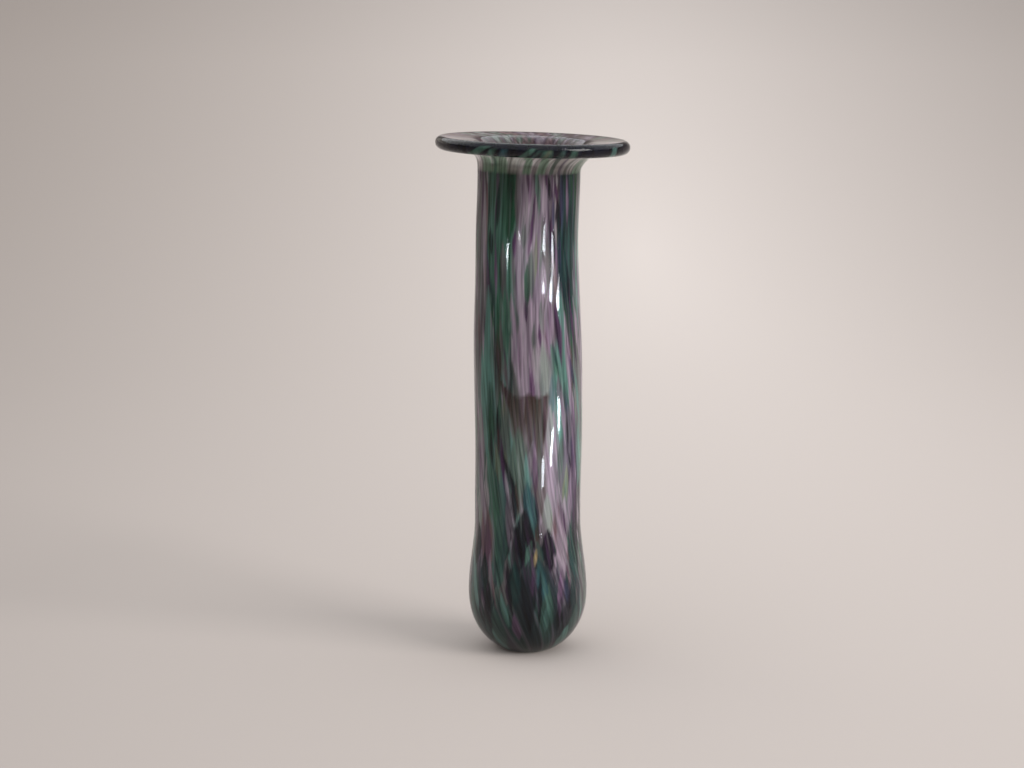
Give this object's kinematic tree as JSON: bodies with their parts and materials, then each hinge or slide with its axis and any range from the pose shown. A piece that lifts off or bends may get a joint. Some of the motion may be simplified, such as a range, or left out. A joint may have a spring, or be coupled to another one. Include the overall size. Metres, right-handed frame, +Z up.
{
  "type": "vase",
  "caption": "Tall slim hand-blown glass vase with a rounded bulb foot, a flat disc lip, and drawn streaks of coloured glass cased in clear.",
  "frame": {"origin": "middle of the ground flat foot, on the surface that the vase stands on", "axes": "+Z up along the body towards the lip; -Y is the pictured front; the lip leans and tilts down a little towards +X"},
  "size_m": [0.0853, 0.0854, 0.2312],
  "materials": {
    "clear": "clear, fire-polished",
    "emerald": "deep green, drawn into streaks",
    "teal": "blue-green, drawn into streaks",
    "amethyst": "purple, drawn into streaks",
    "opal": "milky pink-lilac, drawn into streaks",
    "indigo": "near-black blue, drawn into streaks",
    "smoke": "smoky brown, drawn into streaks"
  },
  "bodies": {
    "root": {"amethyst_streak_01": "amethyst", "amethyst_streak_02": "amethyst", "amethyst_streak_03": "amethyst", "amethyst_streak_04": "amethyst", "amethyst_streak_05": "amethyst", "amethyst_streak_06": "amethyst", "amethyst_streak_07": "amethyst", "amethyst_streak_08": "amethyst", "amethyst_streak_09": "amethyst", "emerald_streak_01": "emerald", "emerald_streak_02": "emerald", "emerald_streak_03": "emerald", "emerald_streak_04": "emerald", "emerald_streak_05": "emerald", "emerald_streak_06": "emerald", "emerald_streak_07": "emerald", "emerald_streak_08": "emerald", "emerald_streak_09": "emerald", "emerald_streak_10": "emerald", "emerald_streak_11": "emerald", "emerald_streak_12": "emerald", "emerald_streak_13": "emerald", "indigo_streak_01": "indigo", "indigo_streak_02": "indigo", "indigo_streak_03": "indigo", "indigo_streak_04": "indigo", "indigo_streak_05": "indigo", "indigo_streak_06": "indigo", "indigo_streak_07": "indigo", "indigo_streak_08": "indigo", "indigo_streak_09": "indigo", "indigo_streak_10": "indigo", "indigo_streak_11": "indigo", "inner_gather": "clear", "opal_streak_01": "opal", "opal_streak_02": "opal", "opal_streak_03": "opal", "opal_streak_04": "opal", "opal_streak_05": "opal", "opal_streak_06": "opal", "opal_streak_07": "opal", "opal_streak_08": "opal", "opal_streak_09": "opal", "opal_streak_10": "opal", "opal_streak_11": "opal", "outer_casing": "clear", "smoke_streak_01": "smoke", "smoke_streak_02": "smoke", "smoke_streak_03": "smoke", "teal_streak_01": "teal", "teal_streak_02": "teal", "teal_streak_03": "teal", "teal_streak_04": "teal", "teal_streak_05": "teal", "teal_streak_06": "teal", "teal_streak_07": "teal", "teal_streak_08": "teal"}
  },
  "joints": []
}
